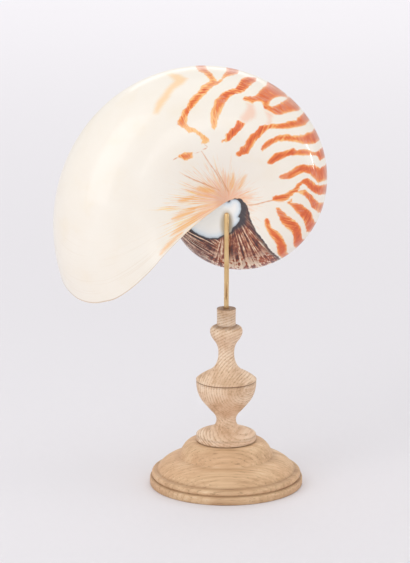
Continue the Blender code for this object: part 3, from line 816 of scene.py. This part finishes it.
    # from the cream upwards, each laid over the one before
    layers = (
        (lipShare, linear(look["lipLine"])), (lipShadeShare, linear(look["lipEdge"])),
        (rayMask, rayColour), (glowMask, linear(look["glow"])),
        (paleMask, paleColour), (scratchMask, linear(look["scratch"])),
        (flameMask, flameWithSheen), (filmMask, filmEdged), (windowMask, windowRodShadow),
    )
    colour = cream
    for mask, upper in layers:
        colour = add(mix, {0: mask, 6: colour, 7: upper}, **colourMix)
    bump = add(bumpNode, {"Height": growth, "Strength": look["growthRelief"], "Distance": look["growthDepth"]})
    shader = add(principled, {"Base Color": colour, "Roughness": look["roughness"], "Normal": bump, "IOR": look["ior"],
                              "Coat Weight": look["coat"], "Coat Roughness": look["coatRoughness"]})
    add(surfaceOut, {"Surface": shader})
    return material


def nacreLayer():
    # mother of pearl: thin aragonite plates, silvery with faint pink and green, soft mirror gloss. The plates
    # are 0.5 micrometres thick, so their film colour is the shader's, and only the cloudy bands of 30 mm are drawn
    material, add = newMaterial("motherOfPearl")
    place = add(coordinates, out=3)
    wide = add(noise, {"Vector": place, "Scale": perMetre(29.41), "Detail": 2.0, "Distortion": 0.3})
    colour = add(ramp, {"Fac": wide}, stops=((0.26, "#FFEBE4"), (0.42, "#FDF7F0"), (0.56, "#F6F8F1"),
                                             (0.76, "#FFF0DE")))
    fine = add(noise, {"Vector": place, "Scale": perMetre(3.846), "Detail": 3.0})
    bump = add(bumpNode, {"Height": fine, "Strength": 0.08, "Distance": 0.1 * mm})
    shader = add(principled, {"Base Color": colour, "Roughness": 0.24, "Normal": bump, "IOR": 1.6,
                              "Coat Weight": 0.4, "Coat Roughness": 0.1, "Thin Film Thickness": 215.0,
                              "Thin Film IOR": 1.38})
    add(surfaceOut, {"Surface": shader})
    return material


def sawnEdge():
    # sawn and rubbed edge: chalky outer layer, then pearl, with fine saw lines. These are about 0.2 mm apart
    # and too fine to show, so they are drawn at about 1.1 mm
    material, add = newMaterial("sawnShellEdge")
    place = add(coordinates, out=3)
    layer = add(attribute, out=2, attribute_name="innerSkin")
    colour = add(ramp, {"Fac": layer}, stops=((0.0, "#EADBC4"), (0.28, "#F3E9DA"), (0.42, "#E8E2DE"),
                                              (1.0, "#F1EDE8")))
    saw = add(noise, {"Vector": place, "Scale": perMetre(1.111), "Detail": 2.0})
    bump = add(bumpNode, {"Height": saw, "Strength": 0.15, "Distance": 0.05 * mm})
    shader = add(principled, {"Base Color": colour, "Roughness": 0.42, "Normal": bump, "IOR": 1.55})
    add(surfaceOut, {"Surface": shader})
    return material


def hornTube():
    # dried siphuncle: thin brown horn where it swells, chalky white where it passes a septum
    material, add = newMaterial("driedSiphuncle")
    swell = add(attribute, out=2, attribute_name="swell")
    colour = add(ramp, {"Fac": swell}, stops=((0.0, "#EDE4D6"), (0.4, "#D8C0A0"), (0.75, "#8C6244"),
                                              (1.0, "#6E4A33")))
    shader = add(principled, {"Base Color": colour, "Roughness": 0.55})
    add(surfaceOut, {"Surface": shader})
    return material


def makeShell():
    nacre = nacreLayer()
    wall = runTree("shellWall", wallTree(porcelainLayer(), nacre, sawnEdge()), {"Wall": shellSizes["wall"]})
    markShell(wall)
    septa = runTree("shellSepta", septaTree(nacre), {"Septa": septaSizes["count"]})
    tube = runTree("siphuncleTube", siphuncleTree(hornTube()), {"Radius": siphuncleSizes["radius"]})
    for piece in (wall, septa, tube):
        piece.data.shade_smooth()
        piece.data.set_sharp_from_angle(angle=math.radians(sharpAngles["shell"]))
        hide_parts("shell")
        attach(piece, "root")
    print("shell:", len(wall.data.polygons), "wall faces,", len(septa.data.polygons), "septa faces")


# Stand


def curveTo(profile, corner, end, steps):
    # adds a curve from the last point to the end, pulled towards the corner
    start = profile[-1]
    for step in range(1, steps + 1):
        t = step / steps
        parts = ((1 - t) ** 2, 2 * t * (1 - t), t ** 2)
        profile.append(tuple(sum(p * q for p, q in zip(parts, pair)) for pair in zip(start, corner, end)))


balusterShape = {
    "top": 113.3, "foot": 28.2, "bore": 1.8, "boreDepth": 21.0, "tenon": 8.0, "tenonEnd": 14.6, "turns": 112,
}
baseShape = {"rim": 47.9, "top": 27.9, "bore": 8.3, "boreFloor": 14.0, "turns": 160}


def balusterProfile():
    # (radius, height) in mm, down the outside
    shape = balusterShape
    top, foot = shape["top"], shape["foot"]
    profile = [(0.0, top - shape["boreDepth"]), (shape["bore"], top - shape["boreDepth"]), (shape["bore"], top - 0.3)]
    curveTo(profile, (shape["bore"], top), (2.1, top), 2)
    profile.append((5.5, top))
    curveTo(profile, (5.9, top), (5.95, top - 0.4), 3)
    profile += [(5.92, top - 1.2), (5.85, 110.5)]
    curveTo(profile, (5.7, 107.0), (5.9, 103.4), 6)
    profile += [(5.9, 102.6), (5.95, 102.3), (6.2, 102.2)]
    curveTo(profile, (10.1, 101.9), (10.15, 98.4), 12)
    curveTo(profile, (9.9, 95.6), (7.6, 92.8), 7)
    curveTo(profile, (4.9, 89.6), (4.9, 84.6), 8)
    curveTo(profile, (4.9, 76.8), (10.2, 73.2), 10)
    curveTo(profile, (15.6, 70.6), (18.7, 67.9), 9)
    curveTo(profile, (19.0, 67.65), (18.9, 67.4), 3)
    profile += [(18.5, 67.2), (18.4, 67.0), (18.5, 66.8), (18.75, 66.6)]
    curveTo(profile, (18.9, 59.2), (15.0, 54.0), 12)
    curveTo(profile, (12.4, 50.8), (9.9, 48.0), 5)
    curveTo(profile, (6.1, 44.4), (6.1, 41.6), 8)
    curveTo(profile, (6.1, 36.6), (12.5, 34.9), 10)
    curveTo(profile, (16.0, 34.1), (18.2, 32.7), 6)
    curveTo(profile, (18.8, 32.3), (18.85, 31.7), 3)
    profile += [(18.85, 30.4), (18.85, foot + 0.9), (18.85, foot + 0.4)]
    curveTo(profile, (18.85, foot), (18.5, foot), 2)
    profile += [(shape["tenon"], foot), (shape["tenon"], shape["tenonEnd"]), (0.0, shape["tenonEnd"])]
    return profile


def baseProfile():
    shape = baseShape
    top, rim = shape["top"], shape["rim"]
    profile = [(0.0, shape["boreFloor"]), (shape["bore"], shape["boreFloor"]), (shape["bore"], top), (20.5, top)]
    curveTo(profile, (26.4, 27.4), (29.2, 19.0), 14)
    curveTo(profile, (29.4, 18.1), (30.2, 17.9), 4)
    curveTo(profile, (40.0, 15.6), (43.2, 9.7), 14)
    curveTo(profile, (43.2, 9.1), (43.8, 9.0), 2)
    curveTo(profile, (46.5, 9.3), (46.7, 7.2), 7)
    curveTo(profile, (46.7, 5.9), (46.2, 5.6), 4)
    profile += [(46.15, 5.25)]
    curveTo(profile, (47.8, 5.2), (rim, 4.2), 4)
    profile.append((rim, 0.7))
    curveTo(profile, (rim, 0.0), (rim - 0.7, 0.0), 3)
    profile.append((0.0, 0.0))
    return profile


def turnPiece(name, profile, turns, material, node):
    # turns a profile on the lathe axis
    body = bmesh.new()
    points = [body.verts.new((radius * mm, 0.0, height * mm)) for radius, height in profile]
    edges = [body.edges.new(pair) for pair in zip(points[:-1], points[1:])]
    bmesh.ops.spin(body, geom=points + edges, cent=(0, 0, 0), axis=(0, 0, 1), angle=whorl, steps=turns,
                   use_merge=True)
    bmesh.ops.remove_doubles(body, verts=body.verts, dist=0.01 * mm)
    bmesh.ops.dissolve_degenerate(body, edges=body.edges, dist=0.001 * mm)
    bmesh.ops.recalc_face_normals(body, faces=body.faces)
    mesh = bpy.data.meshes.new(name)
    body.to_mesh(mesh)
    body.free()
    piece = addObject(name, mesh)
    mesh.materials.append(material)
    mesh.shade_smooth()
    mesh.set_sharp_from_angle(angle=math.radians(sharpAngles["stand"]))
    # darker in bands at given heights: the joints, the cut lines, the collar and the bottom edge
    places = np.zeros(len(mesh.vertices) * 3, np.float32)
    mesh.vertices.foreach_get("co", places)
    heights = places.reshape(-1, 3)[:, 2] / mm
    darkening = np.zeros(len(heights))
    for height, reach, most in darkeningBands[node]:
        darkening = np.maximum(darkening, most * np.exp(-((heights - height) / reach) ** 2))
    writeField(mesh, "darkening", darkening)
    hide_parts(node)
    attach(piece, "root")
    return piece


darkeningBands = {
    # (height, reach, most) in mm
    "baluster": ((28.2, 0.6, 0.9), (67.05, 0.35, 1.0), (102.3, 0.9, 0.7), (113.4, 0.5, 0.9),
                 (31.9, 0.5, 0.3), (108.5, 5.0, 0.28)),
    "base": ((18.1, 0.6, 0.16), (9.3, 0.5, 0.4), (5.3, 0.6, 0.5), (0.0, 0.9, 0.4)),
}
oakLooks = {
    # the baluster is turned across the grain, which runs away from the viewer: its rings are centred at the right;
    # the base's grain runs from left to right
    "baluster": {"grain": (math.radians(90.0), 0.0, math.radians(-14.0)), "pith": (0.017, 0.0645), "ring": 1.7 * mm,
                 "ringShare": 0.36, "waver": 4.2 * mm,
                 "tones": ("#AF8867", "#D4B190", "#E7CAAD", "#F2DCC4"), "warm": "#DFB591", "pore": "#8C6846",
                 "darkened": "#6A4628"},
    "base": {"grain": (0.0, math.radians(90.0), 0.0), "pith": (0.02, -0.19), "ring": 2.6 * mm, "ringShare": 0.12,
             "waver": 4.5 * mm, "tones": ("#AC855F", "#CBA47E", "#DDB992", "#E9CCA8"), "warm": "#D8AA82",
             "pore": "#8C6846", "darkened": "#6A4628"},
}


def bleachedOak(node):
    # bleached oak, turned and left dry: pale tan, open pores a little darker, hardly any sheen
    look = oakLooks[node]
    material, add = newMaterial("bleachedOak" + node.capitalize())
    place = add(coordinates, out=3)
    # turned so that the grain lies along the third axis
    along = add("ShaderNodeMapping", {"Vector": place, "Rotation": look["grain"]}, vector_type="TEXTURE")
    parts = add("ShaderNodeSeparateXYZ", {"Vector": along})
    x, y = parts, parts.node.outputs[1]
    squashed = add(vectorMaths, (along, (1.0, 1.0, 0.25)), **times)
    waver = add(noise, {"Vector": squashed, "Scale": perMetre(23.81), "Detail": 3.0})
    xGap = add(maths, (x, look["pith"][0]), **minus)
    yGap = add(maths, (y, look["pith"][1]), **minus)
    xSquare = add(maths, (xGap, xGap), **times)
    square = add(maths, (yGap, yGap, xSquare), **timesPlus)
    radius = add(maths, (square,), operation="SQRT")
    wavered = add(maths, (waver, look["waver"], radius), **timesPlus)
    turns = add(maths, (wavered, 1.0 / look["ring"]), **times)
    ring = add(maths, (turns,), operation="FRACT")
    late = add(mapRange, (ring, 0.0, 0.7), **softStep)
    # fibres and pores, long along the grain: the pores are about 0.3 mm wide, drawn at 0.7 mm to show
    fibreVector = add(vectorMaths, (along, (1.0, 1.0, 0.05)), **times)
    fibres = add(noise, {"Vector": fibreVector, "Scale": perMetre(1.613), "Detail": 4.0, "Roughness": 0.6})
    bands = add(noise, {"Vector": fibreVector, "Scale": perMetre(6.667), "Detail": 3.0})
    pores = add(noise, {"Vector": fibreVector, "Scale": perMetre(0.6667), "Detail": 2.0, "Roughness": 0.55})
    poreStart = add(mapRange, (late, 0.0, 1.0, 0.54, 0.66))
    poreOver = add(maths, (pores, poreStart), **minus)
    poreMask = add(mapRange, (poreOver, 0.0, 0.07, 0.0, 0.46))
    # the rings show more in some places than in others
    patchy = add(noise, {"Vector": along, "Scale": perMetre(16.67), "Detail": 1.0})
    clear = add(mapRange, (patchy, 0.38, 0.62, 0.1), **softStep)
    ringTone = add(maths, (late, clear), **times)
    tone = add(maths, (ringTone, look["ringShare"], 0.5 - 0.35 * look["ringShare"]), **timesPlus)
    fibrePush = add(maths, (fibres, 0.5), **minus)
    bandPush = add(maths, (bands, 0.5), **minus)
    tone = add(maths, (fibrePush, 0.9, tone), **timesPlus)
    tone = add(maths, (bandPush, 0.8, tone), **timesPlus)
    body = add(ramp, {"Fac": tone}, stops=tuple(zip((0.10, 0.35, 0.6, 0.85), look["tones"])))
    broad = add(noise, {"Vector": squashed, "Scale": perMetre(38.46), "Detail": 2.0})
    warm = add(mapRange, (broad, 0.42, 0.66, 0.0, 0.5), **softStep)
    # darker in the bands that turnPiece stores
    darkening = add(attribute, out=2, attribute_name="darkening")
    broken = add(maths, (fibrePush, 0.8, 0.85), **timesPlus)
    darkened = add(maths, (darkening, broken), **times)
    colour = body
    for mask, upper in ((warm, look["warm"]), (poreMask, look["pore"]), (darkened, look["darkened"])):
        colour = add(mix, {0: mask, 6: colour, 7: linear(upper)}, **colourMix)
    relief = add(maths, (poreMask, -1.2, fibres), **timesPlus)
    bump = add(bumpNode, {"Height": relief, "Strength": 0.3, "Distance": 0.12 * mm})
    shader = add(principled, {"Base Color": colour, "Roughness": 0.6, "Normal": bump, "IOR": 1.45})
    add(surfaceOut, {"Surface": shader})
    return material


def makeStand():
    turnPiece("balusterTurned", balusterProfile(), balusterShape["turns"], bleachedOak("baluster"), "baluster")
    turnPiece("baseTurned", baseProfile(), baseShape["turns"], bleachedOak("base"), "base")
    print("stand turned")


# Brass fork

forkShape = {
    "rod": 1.5 * mm, "backRod": 1.3 * mm, "foot": 92.6 * mm, "forkStart": 117.0 * mm, "forkEnd": 136.0 * mm,
    "frontReach": -10.2 * mm, "frontLean": 160.0 * mm, "frontTipReach": -8.6 * mm, "frontTip": 176.0 * mm,
    "backReach": 11.7 * mm, "backLean": 150.0 * mm, "backTip": 174.0 * mm, "backStart": 114.0 * mm,
    "sides": 20, "bendSteps": 16,
    # how far below the tip in mm, and the share of the radius there
    "tip": ((1.4, 1.0), (1.05, 0.97), (0.7, 0.85), (0.4, 0.66), (0.15, 0.4), (0.03, 0.12)),
}


def drawnBrass():
    # drawn brass rod, lightly toned: warm yellow metal with faint lengthwise draw lines, which are about
    # 0.05 mm apart and are drawn at 0.4 mm to show
    material, add = newMaterial("drawnBrass")
    place = add(coordinates, out=3)
    drawn = add(vectorMaths, (place, (1.0, 1.0, 0.03)), **times)
    lines = add(noise, {"Vector": drawn, "Scale": perMetre(0.3846), "Detail": 2.0})
    tone = add(noise, {"Vector": place, "Scale": perMetre(11.11), "Detail": 3.0})
    colour = add(ramp, {"Fac": tone}, stops=((0.35, "#EACB98"), (0.55, "#E0BE8A"), (0.7, "#CCA674")))
    rough = add(mapRange, (lines, 0.0, 1.0, 0.24, 0.42))
    bump = add(bumpNode, {"Height": lines, "Strength": 0.1, "Distance": 0.03 * mm})
    shader = add(principled, {"Base Color": colour, "Metallic": 1.0, "Roughness": rough, "Normal": bump})
    add(surfaceOut, {"Surface": shader})
    return material


def prongPoints(start, reach, leanStart, tipReach, tip):
    # up the axis, an S bend out to the reach, straight up, then a lean to the tip
    shape = forkShape
    points = [(0.0, 0.0, start)]
    for step in range(shape["bendSteps"] + 1):
        t = step / shape["bendSteps"]
        height = shape["forkStart"] + t * (shape["forkEnd"] - shape["forkStart"])
        points.append((0.0, reach * (0.5 - 0.5 * math.cos(math.pi * t)), height))
    points.append((0.0, reach, leanStart))
    lean = (tipReach - reach) / (tip - leanStart)
    for fall, thin in shape["tip"]:
        height = tip - fall * mm
        points.append((0.0, reach + lean * (height - leanStart), height))
    return points


def rodTree(brass):
    # a round rod along the curve it is given, thinned by the curve's own radius
    tree, add, given = newTree(
        "roundRod",
        {"Geometry": ("Geometry", None), "Rod": ("Float", forkShape["rod"]), "Sides": ("Int", forkShape["sides"])},
        {"Geometry": "Geometry"},
    )
    circle = add("GeometryNodeCurvePrimitiveCircle", {"Resolution": given["Sides"], "Radius": given["Rod"]})
    thinning = add("GeometryNodeInputRadius")
    rod = add("GeometryNodeCurveToMesh", {"Curve": given["Geometry"], "Profile Curve": circle, "Scale": thinning,
                                          "Fill Caps": True})
    finishTree(add, rod, ((brass, None),))
    return tree


def makeFork():
    shape = forkShape
    tree = rodTree(drawnBrass())
    tipThin = [thin for fall, thin in shape["tip"]]
    prongs = {
        "frontProng": (prongPoints(shape["foot"], shape["frontReach"], shape["frontLean"], shape["frontTipReach"],
                                   shape["frontTip"]), shape["rod"]),
        "backProng": (prongPoints(shape["backStart"], shape["backReach"], shape["backLean"], shape["backReach"],
                                  shape["backTip"]), shape["backRod"]),
    }
    for name, (points, radius) in prongs.items():
        path = bpy.data.curves.new(name + "Path", "CURVE")
        path.dimensions = "3D"
        spline = path.splines.new("POLY")
        spline.points.add(len(points) - 1)
        thins = [1.0] * (len(points) - len(tipThin)) + tipThin
        for bend, point, thin in zip(spline.points, points, thins):
            bend.co = (*point, 1.0)
            bend.radius = thin
        piece = runTree(name, tree, {"Rod": radius, "Sides": shape["sides"]}, path)
        piece.data.shade_smooth()
        piece.data.set_sharp_from_angle(angle=math.radians(sharpAngles["fork"]))
        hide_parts("brass_fork")
        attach(piece, "root")
    print("fork bent")


# Stage, light and camera

studio = {
    "paper": "#E8E5E9",
    "paperRadius": 9.0,
    "world": (0.74, "#FFFFFF"),
    "lights": {
        # name: (place, aim, size across, size up, watts, spread in degrees)
        "leftSoftbox": ((-1.25, -1.05, 0.95), (-0.02, 0.0, 0.17), 1.0, 1.4, 7.5, 180.0),
        "frontSoftbox": ((0.3, -2.3, 0.75), (0.0, 0.0, 0.2), 1.2, 0.7, 4.2, 180.0),
        "slimStrip": ((1.25, -0.15, 0.30), (0.0, 0.0, 0.20), 0.03, 0.4, 0.08, 36.0),
        "topSoftbox": ((0.1, -0.2, 1.6), (0.0, 0.0, 0.15), 1.2, 1.0, 2.0, 180.0),
        "backSoftbox": ((0.0, 2.5, 1.9), (0.0, 2.4, 0.0), 3.0, 1.4, 22.5, 180.0),
    },
}


def makeStage():
    # a wide sheet of pale matt paper, which fills the view and shows a soft shadow and no shine
    body = bmesh.new()
    bmesh.ops.create_circle(body, cap_ends=True, segments=96, radius=studio["paperRadius"])
    mesh = bpy.data.meshes.new("paperSheet")
    body.to_mesh(mesh)
    body.free()
    sheet = addObject("paperSheet", mesh)
    material, add = newMaterial("paleStudioPaper")
    shader = add(principled, {"Base Color": linear(studio["paper"]), "Roughness": 0.9})
    add(surfaceOut, {"Surface": shader})
    mesh.materials.append(material)
    print("paper laid")


def makeLights():
    for name, (place, aim, across, up, watts, spread) in studio["lights"].items():
        data = bpy.data.lights.new(name, "AREA")
        data.shape = "RECTANGLE"
        data.size = across
        data.size_y = up
        data.energy = watts
        data.spread = math.radians(spread)
        lamp = addObject(name, data)
        lamp.location = place
        lamp.rotation_euler = (Vector(aim) - Vector(place)).to_track_quat("-Z", "Y").to_euler()
    world = bpy.data.worlds.new("softWhiteRoom")
    world.use_nodes = True
    background = world.node_tree.nodes["Background"]
    background.inputs["Color"].default_value = linear(studio["world"][1])
    background.inputs["Strength"].default_value = studio["world"][0]
    bpy.context.scene.world = world
    print("lights set:", ", ".join(studio["lights"]))


cameraShape = {
    "distance": 1900.0 * mm,
    "elevation": math.radians(13.8),
    "aim": (-13.27 * mm, 0.0, 130.3 * mm),
    "millimetresPerPixel": 0.62,
    "frameHeight": 563,
    "sensor": 36.0,
}


def makeCamera():
    shape = cameraShape
    data = bpy.data.cameras.new("longLens")
    data.sensor_fit = "AUTO"
    data.sensor_width = shape["sensor"]
    focalPixels = shape["distance"] / mm / shape["millimetresPerPixel"]
    data.lens = focalPixels * shape["sensor"] / shape["frameHeight"]
    data.clip_end = 20.0
    camera = addObject("longLens", data)
    back = Vector((0.0, -math.cos(shape["elevation"]), math.sin(shape["elevation"])))
    camera.location = Vector(shape["aim"]) + back * shape["distance"]
    camera.rotation_euler = (math.pi / 2.0 - shape["elevation"], 0.0, 0.0)
    bpy.context.scene.camera = camera
    bpy.context.scene.view_settings.view_transform = "Standard"
    print("camera set, lens", round(data.lens, 1))


makeCamera()
makeStage()
makeLights()
makeShell()
makeStand()
makeFork()
